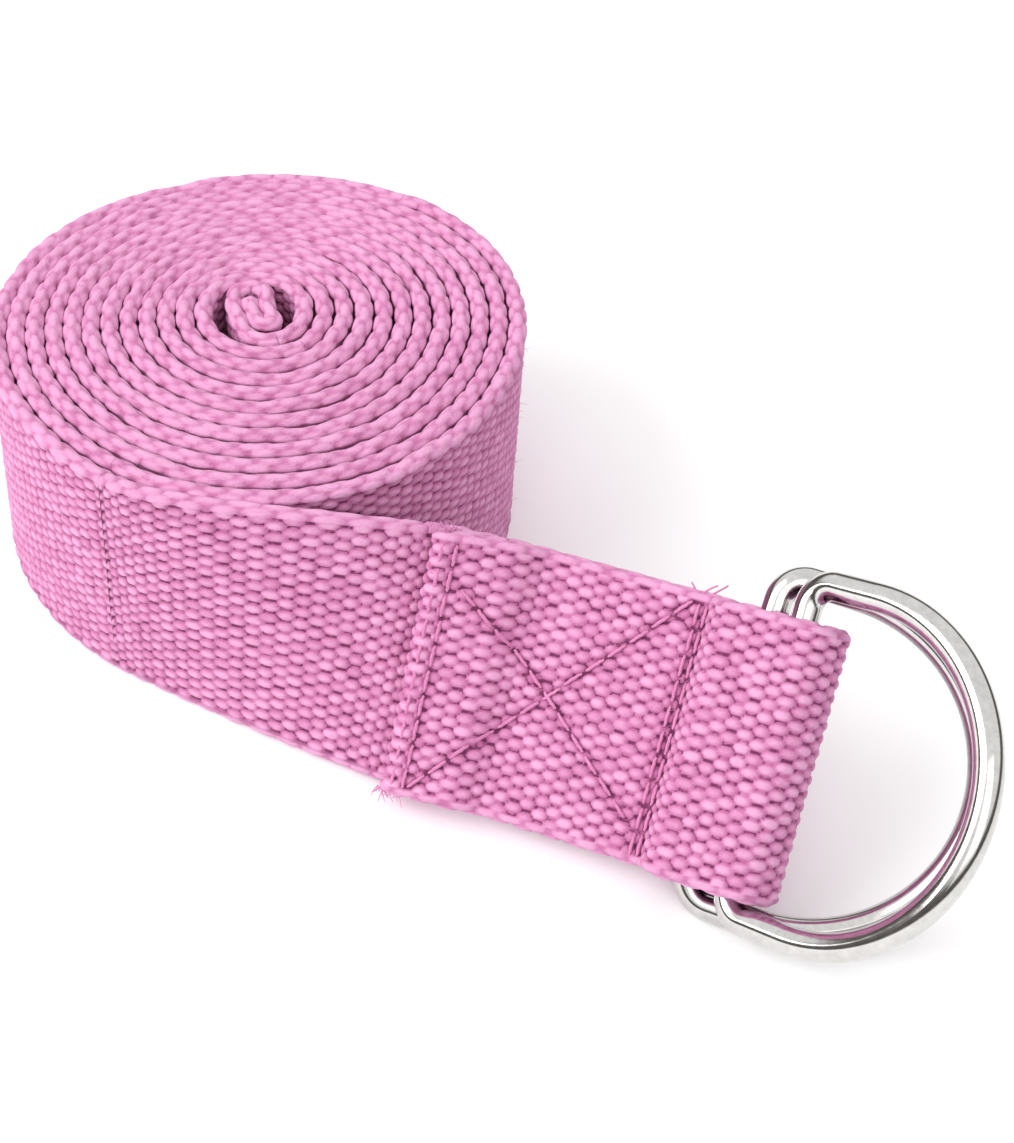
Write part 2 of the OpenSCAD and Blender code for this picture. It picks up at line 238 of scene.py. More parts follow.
@dataclass
class Weaver:
    """Makes the mesh of a stretch of webbing."""

    webbing: Webbing = field(default_factory=Webbing)

    def face_places(self, detail: Detail) -> Array:
        """Returns places across a face, in warp threads, from one edge to the other."""
        w = self.webbing
        edge = w.thickness / 2 / w.row
        if detail is Detail.FULL:
            places = np.arange(0, w.rows * 3 + 1) / 3.0
            return places[(places > edge) & (places < w.rows - edge)] - 0.5
        inner = np.array([edge + 0.05, edge + 1.2, w.rows / 2, w.rows - edge - 1.2, w.rows - edge - 0.05])
        return inner - 0.5

    def weave(
        self,
        name: str,
        course: Course,
        front: Detail = Detail.FULL,
        back: Detail = Detail.FULL,
        press: Callable[[Array, Array], tuple[Array, Array]] | None = None,
        top_wander: float = 0.0,
    ) -> bpy.types.Object:
        """Makes the piece for a course.

        Args:
            name: the piece's name.
            course: where the webbing goes.
            front: how finely the front face is modelled.
            back: how finely the back face is modelled.
            press: gives how far each place on the back face is pressed in and how much painted shade darkens
                it.
            top_wander: how far the upper edge wanders up and down, in millimetres.

        Returns:
            The piece, closed, with a map of its length and width.
        """
        w = self.webbing
        half = w.thickness / 2 - w.sunk
        edge = w.thickness / 2
        u = course.along[:, None]
        angles = (np.arange(w.edge_points) + 0.5) / w.edge_points * math.pi
        places = {"front": self.face_places(front), "back": self.face_places(back)}
        parts: list[tuple[Array, Array, Array, Array, Array, Array]] = []

        def add(v: Array, n: Array, dv: Array, dn: Array, height: Array, tone: Array) -> None:
            """Adds a part of the outline: places, outward directions, height and tone."""
            parts.append(tuple(np.broadcast_to(x, height.shape) for x in (v, n, dv, dn, height, tone)))

        def face(which: str, sign: float, shift: int) -> None:
            """Adds the front or the back face."""
            r = places[which][None, :]
            v = (r + 0.5) * w.row
            height, tone = w.ovals(u, r, shift)
            if (front if which == "front" else back) is Detail.COARSE:
                height = np.full_like(height, 0.55)
            depth = np.zeros_like(height)
            if press is not None and which == "back":
                depth, dark = press(u, v)
                # The seams' painted shade lowers the relief that the cotton ramp turns into colour.
                height = height * (1 - dark)
            zero = np.zeros_like(v)
            order = slice(None) if which == "front" else slice(None, None, -1)
            add(
                v[:, order],
                (zero + sign * half)[:, order],
                zero[:, order],
                (zero + sign)[:, order],
                (height - depth / w.relief)[:, order],
                tone[:, order],
            )

        def edge_part(top: bool) -> None:
            """Adds the upper or the lower turned edge."""
            a = angles[None, :] if top else angles[None, ::-1]
            height, tone = w.edge_bumps(u, a, 0 if top else 1)
            height = 0.66 + 0.56 * height + 0.08 * waves(course.along, 5.0, 9.0)[:, None]
            # Lowers the rims on the cotton ramp, which paints shade and light by relief height, to offset their
            # raised relief.
            tone = 0.4 * tone - 0.85
            centre = w.width - edge if top else edge
            sign = 1.0 if top else -1.0
            add(
                centre + sign * (edge - w.sunk) * np.sin(a),
                half * np.cos(a),
                sign * np.sin(a),
                np.cos(a),
                height,
                tone,
            )

        face("front", 1.0, 0)
        edge_part(True)
        face("back", -1.0, 1)
        edge_part(False)
        v, n, dv, dn, height, tone = (np.concatenate([p[k] for p in parts], axis=1) for k in range(6))
        rise = w.relief * height
        v = v + dv * rise
        n = n + dn * rise
        if top_wander:
            eased = top_wander * smooth01(np.abs(course.along) / 24.0)
            lift = (eased * waves(course.along, 3.0, 31.0))[:, None]
            v = v + lift * smooth01((v - w.width * 0.4) / (w.width * 0.6))
        points = (
            course.foot[:, None, :]
            + v[..., None] * course.across[:, None, :]
            + n[..., None] * course.out[:, None, :]
        )
        rows, cols = v.shape
        index = np.arange(rows * cols).reshape(rows, cols)
        nxt = np.roll(index, -1, axis=1)
        quads = np.stack([index[:-1], index[1:], nxt[1:], nxt[:-1]], axis=-1).reshape(-1, 4)
        flat = points.reshape(-1, 3)
        caps = self.caps(index)
        faces = quads.tolist() + caps
        if self.signed_volume(flat, quads) < 0:
            faces = [f[::-1] for f in faces]
        obj = mesh_object(name, flat, faces)
        smooth = np.ones(len(faces), bool)
        smooth[len(quads) :] = False
        obj.data.polygons.foreach_set("use_smooth", smooth)
        self.map_cloth(obj, course.along, v, np.clip(height, 0.0, 1.2), tone)
        return obj

    @staticmethod
    def caps(index: Array) -> list[list[int]]:
        """Returns the faces that close both ends, as strips between the front and the back."""
        cols = index.shape[1]
        faces: list[list[int]] = []
        for row, turned in ((index[0], False), (index[-1], True)):
            for k in range(cols // 2 - 1):
                a, b, c, d = row[k], row[k + 1], row[cols - 2 - k], row[cols - 1 - k]
                quad = [int(a), int(b), int(c), int(d)]
                if len(set(quad)) == 4:
                    faces.append(quad if not turned else quad[::-1])
                elif len(set(quad)) == 3:
                    tri = list(dict.fromkeys(quad))
                    faces.append(tri if not turned else tri[::-1])
            if cols % 2:
                m = cols // 2
                tri = [int(row[m - 1]), int(row[m]), int(row[m + 1])]
                faces.append(tri if not turned else tri[::-1])
        return faces

    @staticmethod
    def signed_volume(points: Array, quads: Array) -> float:
        """Returns the volume that the faces shut in, negative when they face inwards."""
        centre = points.mean(axis=0)
        a, b, c, d = (points[quads[:, k]] - centre for k in range(4))
        first = np.einsum("ij,ij->i", a, np.cross(b, c))
        second = np.einsum("ij,ij->i", a, np.cross(c, d))
        return float((first + second).sum())

    @staticmethod
    def map_cloth(obj: bpy.types.Object, along: Array, v: Array, height: Array, tone: Array) -> None:
        """Gives a piece its map along and across the webbing, and its relief and tone; the cotton's colour ramp
        paints shade and light from the relief.
        """
        mesh = obj.data
        u_all = np.broadcast_to(along[:, None], v.shape).reshape(-1)
        cols = v.shape[1]
        across = np.broadcast_to(np.arange(cols)[None, :] * 0.3, v.shape).reshape(-1)
        loops = np.zeros(len(mesh.loops), np.int64)
        mesh.loops.foreach_get("vertex_index", loops)
        layer = mesh.uv_layers.new(name="cloth")
        layer.data.foreach_set("uv", np.stack([u_all[loops], across[loops]], axis=1).astype(np.float32).ravel())
        paint = mesh.color_attributes.new("weave", "FLOAT_COLOR", "POINT")
        values = np.stack([height.ravel(), tone.ravel(), np.zeros(v.size), np.ones(v.size)], axis=1)
        paint.data.foreach_set("color", values.astype(np.float32).ravel())


def even(points: Array, spacing: float) -> tuple[Array, Array]:
    """Returns where to take evenly spaced stations along a line.

    Args:
        points: the line, n by 2 or n by 3.
        spacing: the distance between stations.

    Returns:
        The stations as places in the list of points, and their distances along the line.
    """
    steps = np.concatenate([[0.0], np.cumsum(np.linalg.norm(np.diff(points, axis=0), axis=1))])
    count = max(2, int(round(steps[-1] / spacing)) + 1)
    distance = np.linspace(0.0, steps[-1], count)
    return np.interp(distance, steps, np.arange(len(points))), distance


def at(values: Array, places: Array) -> Array:
    """Returns rows of values at fractional places in them."""
    grid = np.arange(len(values))
    return np.stack([np.interp(places, grid, values[:, k]) for k in range(values.shape[1])], axis=1)


# ---- Finishes ----


def new_material(name: str) -> tuple[bpy.types.Material, bpy.types.Node]:
    """Returns a new node material and its Principled shader."""
    material = bpy.data.materials.new(name)
    material.use_nodes = True
    shader = material.node_tree.nodes["Principled BSDF"]
    return material, shader


def ramp(nodes: bpy.types.Nodes, stops: Sequence[tuple[float, tuple[float, ...]]]) -> bpy.types.Node:
    """Returns a colour ramp node with the given stops."""
    node = nodes.new("ShaderNodeValToRGB")
    elements = node.color_ramp.elements
    while len(elements) < len(stops):
        elements.new(0.5)
    for element, (place, colour) in zip(elements, stops):
        element.position = place
        element.color = colour
    return node


def roughened(
    tree: bpy.types.NodeTree,
    shader: bpy.types.Node,
    height: bpy.types.NodeSocket,
    strength: float,
    distance: float,
) -> None:
    """Gives a shader a bump.

    Args:
        tree: the material's nodes.
        shader: the shader that takes the bump.
        height: the pattern's height.
        strength: how strongly it shows, from 0 to 1.
        distance: how deep it is, in metres.
    """
    bump = tree.nodes.new("ShaderNodeBump")
    bump.inputs["Strength"].default_value = strength
    bump.inputs["Distance"].default_value = distance
    tree.links.new(height, bump.inputs["Height"])
    tree.links.new(bump.outputs["Normal"], shader.inputs["Normal"])


class FibreGrain:
    """The shared pattern of fine cotton fibres, as a node group."""

    _group: bpy.types.NodeTree | None = None

    @classmethod
    def group(cls) -> bpy.types.NodeTree:
        """Returns the node group, built on first use.

        Returns:
            A group with the inputs Vector, Scale and Stretch and the outputs Mask and Height.
        """
        if cls._group is not None:
            return cls._group
        tree = bpy.data.node_groups.new("fibre_grain", "ShaderNodeTree")
        face = tree.interface
        face.new_socket("Vector", in_out="INPUT", socket_type="NodeSocketVector")
        scale = face.new_socket("Scale", in_out="INPUT", socket_type="NodeSocketFloat")
        scale.default_value = 3.0
        stretch = face.new_socket("Stretch", in_out="INPUT", socket_type="NodeSocketFloat")
        stretch.default_value = 0.25
        face.new_socket("Mask", in_out="OUTPUT", socket_type="NodeSocketFloat")
        face.new_socket("Height", in_out="OUTPUT", socket_type="NodeSocketFloat")
        nodes, links = tree.nodes, tree.links
        inside = nodes.new("NodeGroupInput")
        outside = nodes.new("NodeGroupOutput")
        combine = nodes.new("ShaderNodeCombineXYZ")
        combine.inputs[1].default_value = 1.0
        combine.inputs[2].default_value = 1.0
        links.new(inside.outputs["Stretch"], combine.inputs[0])
        multiply = nodes.new("ShaderNodeVectorMath")
        multiply.operation = "MULTIPLY"
        links.new(inside.outputs["Vector"], multiply.inputs[0])
        links.new(combine.outputs[0], multiply.inputs[1])
        fine = nodes.new("ShaderNodeTexNoise")
        fine.inputs["Detail"].default_value = 5.0
        fine.inputs["Roughness"].default_value = 0.7
        links.new(multiply.outputs[0], fine.inputs["Vector"])
        links.new(inside.outputs["Scale"], fine.inputs["Scale"])
        blotch = nodes.new("ShaderNodeTexNoise")
        blotch.inputs["Scale"].default_value = 0.35
        blotch.inputs["Detail"].default_value = 3.0
        links.new(inside.outputs["Vector"], blotch.inputs["Vector"])
        mix = nodes.new("ShaderNodeMix")
        mix.inputs["Factor"].default_value = 0.3
        links.new(fine.outputs["Fac"], mix.inputs["A"])
        links.new(blotch.outputs["Fac"], mix.inputs["B"])
        links.new(mix.outputs["Result"], outside.inputs["Mask"])
        links.new(fine.outputs["Fac"], outside.inputs["Height"])
        cls._group = tree
        return tree

    @classmethod
    def place(
        cls, tree: bpy.types.NodeTree, vector: bpy.types.NodeSocket, scale: float, stretch: float
    ) -> bpy.types.Node:
        """Returns the group's node in a material, fed with a vector."""
        node = tree.nodes.new("ShaderNodeGroup")
        node.node_tree = cls.group()
        node.inputs["Scale"].default_value = scale
        node.inputs["Stretch"].default_value = stretch
        tree.links.new(vector, node.inputs["Vector"])
        return node

    @classmethod
    def on_object(cls, tree: bpy.types.NodeTree, scale: float) -> bpy.types.Node:
        """Returns the group's node, fed with places on the object in millimetres."""
        where = tree.nodes.new("ShaderNodeTexCoord")
        scaled = tree.nodes.new("ShaderNodeVectorMath")
        scaled.operation = "SCALE"
        scaled.inputs["Scale"].default_value = 1.0 / MM
        tree.links.new(where.outputs["Object"], scaled.inputs[0])
        return cls.place(tree, scaled.outputs[0], scale, 1.0)


@dataclass(frozen=True)
class CottonFinish:
    """Pink cotton webbing, coloured by relief height: painted shade in the pinholes and hollows, painted light
    on the thread crowns, and fine fibres.
    """

    # The first two stops are painted shade in the weave's hollows and pinholes; the last is painted light on
    # the highest thread crowns.
    pit_shade: tuple[float, float, float] = (120, 54, 94)
    shade: tuple[float, float, float] = (186, 104, 152)
    crown: tuple[float, float, float] = (208, 133, 178)
    pale: tuple[float, float, float] = (230, 168, 207)
    sheen: float = 0.18
    grain_depth: float = 0.00038
    grain_share: float = 0.9
    tone_share: float = 0.24

    def build(self) -> bpy.types.Material:
        """Returns the webbing's material."""
        material, shader = new_material("pink_cotton")
        tree = material.node_tree
        nodes, links = tree.nodes, tree.links
        uv = nodes.new("ShaderNodeUVMap")
        uv.uv_map = "cloth"
        weave = nodes.new("ShaderNodeAttribute")
        weave.attribute_name = "weave"
        split = nodes.new("ShaderNodeSeparateColor")
        links.new(weave.outputs["Color"], split.inputs[0])
        grain = FibreGrain.place(tree, uv.outputs["UV"], 3.0, 0.5)
        # Colour ramp read by relief height: low places get painted shade, high crowns get painted light.
        crown = ramp(
            nodes,
            [
                (0.0, srgb(*self.pit_shade)),
                (0.16, srgb(*self.shade)),
                (0.6, srgb(*self.crown)),
                (1.0, srgb(*self.pale)),
            ],
        )
        level = split.outputs[0]
        for source, share in ((grain.outputs["Mask"], self.grain_share), (split.outputs[1], self.tone_share)):
            scaled = nodes.new("ShaderNodeMath")
            scaled.operation = "MULTIPLY_ADD"
            scaled.inputs[1].default_value = share
            scaled.inputs[2].default_value = -share / 2
            links.new(source, scaled.inputs[0])
            added = nodes.new("ShaderNodeMath")
            added.operation = "ADD"
            links.new(level, added.inputs[0])
            links.new(scaled.outputs[0], added.inputs[1])
            level = added.outputs[0]
        links.new(level, crown.inputs["Fac"])
        links.new(crown.outputs["Color"], shader.inputs["Base Color"])
        roughened(tree, shader, grain.outputs["Height"], 0.7, self.grain_depth)
        shader.inputs["Roughness"].default_value = 0.88
        shader.inputs["Specular IOR Level"].default_value = 0.2
        shader.inputs["Sheen Weight"].default_value = self.sheen
        shader.inputs["Sheen Roughness"].default_value = 0.5
        shader.inputs["Sheen Tint"].default_value = srgb(255, 205, 235)
        return material


@dataclass(frozen=True)
class ThreadFinish:
    """Twisted sewing thread, a little darker and smoother than the webbing."""

    dark: tuple[float, float, float] = (186, 100, 150)
    light: tuple[float, float, float] = (218, 138, 186)

    def build(self) -> bpy.types.Material:
        """Returns the thread's material."""
        material, shader = new_material("pink_thread")
        tree = material.node_tree
        nodes, links = tree.nodes, tree.links
        grain = FibreGrain.on_object(tree, 4.0)
        colour = ramp(nodes, [(0.3, srgb(*self.dark)), (0.65, srgb(*self.light))])
        links.new(grain.outputs["Mask"], colour.inputs["Fac"])
        links.new(colour.outputs["Color"], shader.inputs["Base Color"])
        roughened(tree, shader, grain.outputs["Height"], 0.5, 0.00006)
        shader.inputs["Roughness"].default_value = 0.7
        shader.inputs["Sheen Weight"].default_value = 0.15
        return material


@dataclass(frozen=True)
class LintFinish:
    """Loose cotton fibres, paler than the webbing."""

    dark: tuple[float, float, float] = (196, 112, 164)
    light: tuple[float, float, float] = (228, 160, 204)

    def build(self) -> bpy.types.Material:
        """Returns the fibres' material."""
        material, shader = new_material("cotton_lint")
        tree = material.node_tree
        nodes, links = tree.nodes, tree.links
        grain = FibreGrain.on_object(tree, 1.2)
        colour = ramp(nodes, [(0.3, srgb(*self.dark)), (0.7, srgb(*self.light))])
        links.new(grain.outputs["Mask"], colour.inputs["Fac"])
        links.new(colour.outputs["Color"], shader.inputs["Base Color"])
        shader.inputs["Roughness"].default_value = 0.9
        shader.inputs["Sheen Weight"].default_value = 0.2
        return material


@dataclass(frozen=True)
class ChromeFinish:
    """Polished chrome plate on wire, with faint drawing marks and handling haze."""

    plate: tuple[float, float, float] = (216, 214, 212)

    def build(self) -> bpy.types.Material:
        """Returns the rings' material."""
        material, shader = new_material("chrome_wire")
        tree = material.node_tree
        nodes, links = tree.nodes, tree.links
        grain = FibreGrain.on_object(tree, 0.8)
        colour = ramp(nodes, [(0.25, srgb(186, 184, 182)), (0.7, srgb(*self.plate))])
        links.new(grain.outputs["Mask"], colour.inputs["Fac"])
        links.new(colour.outputs["Color"], shader.inputs["Base Color"])
        rough = nodes.new("ShaderNodeMapRange")
        rough.inputs["To Min"].default_value = 0.06
        rough.inputs["To Max"].default_value = 0.15
        links.new(grain.outputs["Mask"], rough.inputs["Value"])
        links.new(rough.outputs["Result"], shader.inputs["Roughness"])
        roughened(tree, shader, grain.outputs["Height"], 0.06, 0.00004)
        shader.inputs["Metallic"].default_value = 1.0
        return material


# ---- The wound coil ----


@dataclass(frozen=True)
class CoilShape:
    """The plan of the wound turns, in millimetres and degrees."""

    turns: float = 11.85
    outer: float = 41.2
    pitch: float = 2.8
    leave: float = -98.0
    hollow: tuple[float, float] = (-2.9, 3.0)
    oval: tuple[float, float] = (0.75, 78.0)
    lobe: tuple[float, float] = (0.8, 61.5)
    hollow_oval: tuple[float, float] = (0.6, 125.0)

    def face(self, turn: Array) -> Array:
        """Returns the outer face, the given number of turns in from the run."""
        turn = np.asarray(turn, float)
        rad = np.radians(self.leave - 360.0 * turn)
        r = self.outer - self.pitch * turn
        wave = self.oval[0] * np.cos(2 * (rad - math.radians(self.oval[1]))) + self.lobe[0] * np.cos(
            3 * (rad - math.radians(self.lobe[1]))
        )
        drift = turn / self.turns
        swell = self.hollow_oval[0] * drift**3 * np.cos(2 * (rad - math.radians(self.hollow_oval[1])))
        rr = r * (1 + wave * r / self.outer**2) + swell
        return np.stack(
            [self.hollow[0] * drift + rr * np.cos(rad), self.hollow[1] * drift + rr * np.sin(rad)], axis=-1
        )

    def heading(self, turn: Array) -> Array:
        """Returns the direction towards the run along that face."""
        turn = np.asarray(turn, float)
        return unit(self.face(turn - 0.001) - self.face(turn + 0.001))

    def middle(self, turn: Array, depth: float) -> Array:
        """Returns a line under the outer face, the given depth inside it."""
        h = self.heading(turn)
        return self.face(turn) + depth * np.stack([-h[..., 1], h[..., 0]], axis=-1)


@dataclass
class WoundCoil:
    """The coil and the hemmed free end that is curled up in its hollow."""

    shape: CoilShape = field(default_factory=CoilShape)
    weaver: Weaver = field(default_factory=Weaver)
    curl_r: float = 2.5
    curl_leg: float = 5.8
    end_fold_r: float = 1.22
    end_hem: float = 5.2

    def flat_course(self, line: Array, start: float, spacing: float) -> Course:
        """Returns the course of webbing that stands upright along a line in plan.

        Args:
            line: the plan of the webbing's middle, n by 2.
            start: the distance along the band at the line's first point, which then falls.
            spacing: the distance between stations.

        Returns:
            The course, its front face on the right of the line.
        """
        places, distance = even(line, spacing)
        heading = unit(np.gradient(line, axis=0))
        plan = at(line, places)
        d = unit(at(heading, places))
        zeros = np.zeros(len(plan))
        foot = np.stack([plan[:, 0], plan[:, 1], zeros], axis=1)
        across = np.tile([0.0, 0.0, 1.0], (len(plan), 1))
        out = np.stack([-d[:, 1], d[:, 0], zeros], axis=1)
        return Course(foot, across, out, start - distance)

    def stretch(
        self, name: str, first: float, last: float, begin: float, front: Detail, back: Detail, spacing: float
    ) -> tuple[bpy.types.Object, Course]:
        """Makes the turns from one count to another.

        Args:
            name: the piece's name.
            first: turns in from the run where the piece begins.
            last: turns in from the run where it ends.
            begin: the distance along the band where the piece begins.
            front: detail of the outer face.
            back: detail of the inner face.
            spacing: the distance between stations.

        Returns:
            The piece and its course.
        """
        turns = np.linspace(first, last, int((last - first) * 400) + 2)
        line = self.shape.middle(turns, self.weaver.webbing.thickness / 2)
        course = self.flat_course(line, begin, spacing)
        return self.weaver.weave(name, course, front, back, top_wander=0.32), course

    def curl_line(self, moves_made: int = 9) -> Array:
        """Returns the plan of the free end, out of the last turn and round its folds.

        Args:
            moves_made: how many of its bends are followed.

        Returns:
            The middle of the webbing, n by 2.
        """
        half = self.weaver.webbing.thickness / 2
        point = self.shape.middle(np.array(self.shape.turns), half)
        heading = -self.shape.heading(np.array(self.shape.turns))
        angle = math.degrees(math.atan2(heading[1], heading[0]))
        moves = [
            (6.0, -94.0),
            (self.curl_leg, -6.0),
            (2.6, -16.0),
            (math.pi * self.curl_r, -180.0),
            (3.2, 22.0),
            (self.curl_leg - 3.8, 0.0),
            (math.pi * self.end_fold_r, -180.0),
            (3.0, -2.0),
            (self.end_hem - 3.0, -16.0),
        ]
        line = [point]
        for length, turn in moves[:moves_made]:
            count = max(2, int(length / 0.2))
            for _ in range(count):
                mid = math.radians(angle + turn / count / 2)
                line.append(line[-1] + length / count * np.array([math.cos(mid), math.sin(mid)]))
                angle += turn / count
        return np.array(line)

    def build(self, cotton: bpy.types.Material) -> None:
        """Makes the coil's pieces and dresses them in cotton."""
        fine = self.weaver.webbing.station
        plan = (
            ("outer_turn_a", 0.0, 0.5, Detail.FULL, Detail.COARSE, fine),
            ("outer_turn_b", 0.5, 1.0, Detail.FULL, Detail.COARSE, fine),
            ("wound_turns_outer", 1.0, 4.2, Detail.COARSE, Detail.COARSE, 0.45),
            ("wound_turns_inner", 4.2, 10.8, Detail.COARSE, Detail.COARSE, 0.45),
            ("last_turn", 10.8, self.shape.turns, Detail.FULL, Detail.FULL, fine),
        )
        begin = 0.0
        pieces = []
        for name, first, last, front, back, spacing in plan:
            piece, course = self.stretch(name, first, last, begin, front, back, spacing)
            begin -= course.length
            pieces.append((piece, course))
        for piece, course in pieces:
            dress(piece, cotton)
            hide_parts("webbing_coil")
        course = self.flat_course(self.curl_line(), begin, fine)
        piece = self.weaver.weave("curled_free_end", course, top_wander=0.2)
        dress(piece, cotton)
        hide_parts("webbing_free_end")
        log.info("wound coil: %d pieces, %.0f mm of webbing", len(pieces) + 1, -begin + course.length)


# ---- The run, the lap and the ring loop ----


@dataclass
class LapShape:
    """The run from the coil, its twist, and the lap that holds the rings."""

    coil: CoilShape = field(default_factory=CoilShape)
    web: Webbing = field(default_factory=Webbing)
    run_x: float = 46.4
    run_y: float = 46.6
    run_ease: float = 10.0
    lean: float = 44.0
    twist_len: float = 67.0
    twist_start: float = 3.0
    rise: float = 4.5
    turn: float = 2.4
    lap_len: float = 38.6
    hem_len: float = 10.0
    hem_step: float = 5.0
    loop_len: float = 19.0
    loop_open: float = 3.6
    wire_d: float = 4.0
    bar_clear: float = 0.3
    bar_stack: float = 3.4
    layer_gap: float = 0.06
    foot_z: float = 0.0
    seam_angle: float = -50.0

    def __post_init__(self) -> None:
        """Works out the run's curve and the heights of the layers."""
        start = self.coil.face(np.array(0.0))
        towards = self.coil.heading(np.array(0.0))
        rise, turn = math.radians(self.rise), math.radians(self.turn)
        self.along_lap = np.array(
            [math.cos(rise) * math.cos(turn), -math.cos(rise) * math.sin(turn), math.sin(rise)]
        )
        corner = np.array([start[0] + self.run_x, -self.run_y, self.foot_z])
        self.handles = np.array(
            [
                [start[0], start[1], 0.0],
                [start[0] + self.run_ease * towards[0], start[1] + self.run_ease * towards[1], 0.0],
                corner - self.run_ease * self.along_lap,
                corner,
            ]
        )
        u = np.linspace(0, 1, 400)
        curve = self.bezier(u)
        self.run_len = float(np.linalg.norm(np.diff(curve, axis=0), axis=1).sum())
        self.half = self.web.thickness / 2
        self.loop_half = (self.bar_stack + self.wire_d) / 2 + self.bar_clear
        self.loop_mid = self.loop_half + self.half
        self.fold_s = self.lap_len + self.loop_len - self.loop_half - self.web.thickness
        self.front_n = self.half + self.layer_gap
        self.over_n = self.front_n + self.web.thickness + self.layer_gap

    def bezier(self, u: Array) -> Array:
        """Returns points on the run's lower front edge."""
        h = self.handles
        w = np.asarray(u, float)[..., None]
        return (1 - w) ** 3 * h[0] + 3 * w * (1 - w) ** 2 * h[1] + 3 * w * w * (1 - w) * h[2] + w**3 * h[3]

    def bezier_heading(self, u: Array) -> Array:
        """Returns the directions of the run's lower front edge."""
        h = self.handles
        w = np.asarray(u, float)[..., None]
        return unit(
            (1 - w) ** 2 * (h[1] - h[0]) + 2 * w * (1 - w) * (h[2] - h[1]) + w * w * (h[3] - h[2])
        )

    def axes(self, s: Array) -> tuple[Array, Array, Array]:
        """Returns the webbing's directions along, across and out of its front at distances s."""
        s = np.asarray(s, float)
        u = np.clip(1 + s / self.run_len, 0.0, 1.0)
        along = np.where((s < 0)[..., None], self.bezier_heading(u), self.along_lap)
        twisted = smooth01((s + self.run_len - self.twist_start) / self.twist_len)
        lean = np.radians(self.lean * twisted)[..., None]
        back = unit(np.stack([-along[..., 1], along[..., 0], np.zeros_like(s)], axis=-1))
        up = np.cross(along, back)
        return along, up * np.cos(lean) + back * np.sin(lean), up * np.sin(lean) - back * np.cos(lean)

    def edge(self, s: Array) -> Array:
        """Returns the webbing's lower front edge at distances s from the lap's folded edge."""
        s = np.asarray(s, float)
        on_run = self.bezier(np.clip(1 + s / self.run_len, 0.0, 1.0))
        return np.where((s < 0)[..., None], on_run, self.handles[3] + s[..., None] * self.along_lap)

    def point(self, s: Array, v: Array, n: Array) -> Array:
        """Returns places s along, v across and n out of the front."""
        _, across, out = self.axes(s)
        return self.edge(s) + np.asarray(v)[..., None] * across + np.asarray(n)[..., None] * out

    def course(self, path: Array, begin: float, spacing: float) -> Course:
        """Returns the course of webbing along a path of s and n for its middle.

        Args:
            path: s and n of the middle of the webbing, n by 2.
            begin: the distance along the band at the path's start.
            spacing: the distance between stations.

        Returns:
            The course.
        """
        places, distance = even(path, spacing)
        middle = at(path, places)
        heading = unit(at(unit(np.gradient(path, axis=0)), places))
        along, across, out = self.axes(middle[:, 0])
        foot = self.edge(middle[:, 0]) + middle[:, 1:2] * out
        normal = -heading[:, 1:2] * along + heading[:, 0:1] * out
        return Course(foot, across, normal, begin + distance)

    @property
    def shown_front(self) -> float:
        """Returns the front layer's length from the back of the loop to the lap's folded edge."""
        arc = math.radians(90.0 - self.seam_angle) * self.loop_mid
        return arc + self.fold_s - self.half

    def rear_path(self) -> Array:
        """Returns the lap's rear layer, out under the bars to the back of the loop's fold."""
        lead = np.stack([np.linspace(0, self.lap_len - 1, 60), np.full(60, -self.half)], axis=1)
        t = np.linspace(0, 1, 24)
        opening = np.stack(
            [self.lap_len + self.loop_open * t, -self.half - (self.loop_mid - self.half) * smooth01(t)], axis=1
        )
        a = np.radians(np.linspace(-90, self.seam_angle, 16))
        fold = np.stack([self.fold_s + self.loop_mid * np.cos(a), self.loop_mid * np.sin(a)], axis=1)
        return np.concatenate([lead, opening, fold])

    def front_path(self) -> Array:
        """Returns the lap's front layer, from the loop back to its folded edge and under."""
        t = np.linspace(1, 0, 24)
        a = np.radians(np.linspace(self.seam_angle, 90, 60))
        bend = np.stack([self.fold_s + self.loop_mid * np.cos(a), self.loop_mid * np.sin(a)], axis=1)
        reach = np.linspace(self.fold_s - 0.4, self.lap_len + self.loop_open + 0.4, 24)
        straight = np.stack([reach, np.full(24, self.loop_mid)], axis=1)
        closing = np.stack(
            [
                self.lap_len + self.loop_open * t,
                self.front_n + (self.loop_mid - self.front_n) * smooth01(t),
            ],
            axis=1,
        )
        start = self.hem_len + self.hem_step
        flat = np.stack(
            [np.linspace(self.lap_len - 1, start + 1, 50), np.full(50, self.front_n)], axis=1
        )
        step = np.stack(
            [self.hem_len + self.hem_step * t, self.over_n + (self.front_n - self.over_n) * smooth01(t)], axis=1
        )
        fold_r = (self.over_n - self.front_n) / 2
        fold_s = self.half + fold_r
        over = np.stack([np.linspace(self.hem_len - 1, fold_s + 0.4, 12), np.full(12, self.over_n)], axis=1)
        a = np.radians(np.linspace(90, 270, 24))
        fold = np.stack(
            [fold_s + fold_r * np.cos(a), (self.over_n + self.front_n) / 2 + fold_r * np.sin(a)], axis=1
        )
        under = np.stack([np.linspace(fold_s + 0.5, self.hem_len - 1, 16), np.full(16, self.front_n)], axis=1)
        return np.concatenate([bend, straight, closing, flat, step, over, fold, under])


@dataclass(frozen=True)
class SeamRow:
    """A row of stitches, from one place (s, v) on the lap to another."""

    start: tuple[float, float]
    end: tuple[float, float]
    stitch: float = 3.0
    gap: float = 0.5

    def stitches(self) -> list[tuple[Array, Array]]:
        """Returns the two ends of each stitch, as places (s, v)."""
        a, b = np.array(self.start), np.array(self.end)
        span = b - a
        count = int((np.linalg.norm(span) + self.gap) // (self.stitch + self.gap))
        step = span / count
        part = self.stitch / (self.stitch + self.gap)
        return [(a + i * step, a + (i + part) * step) for i in range(count)]


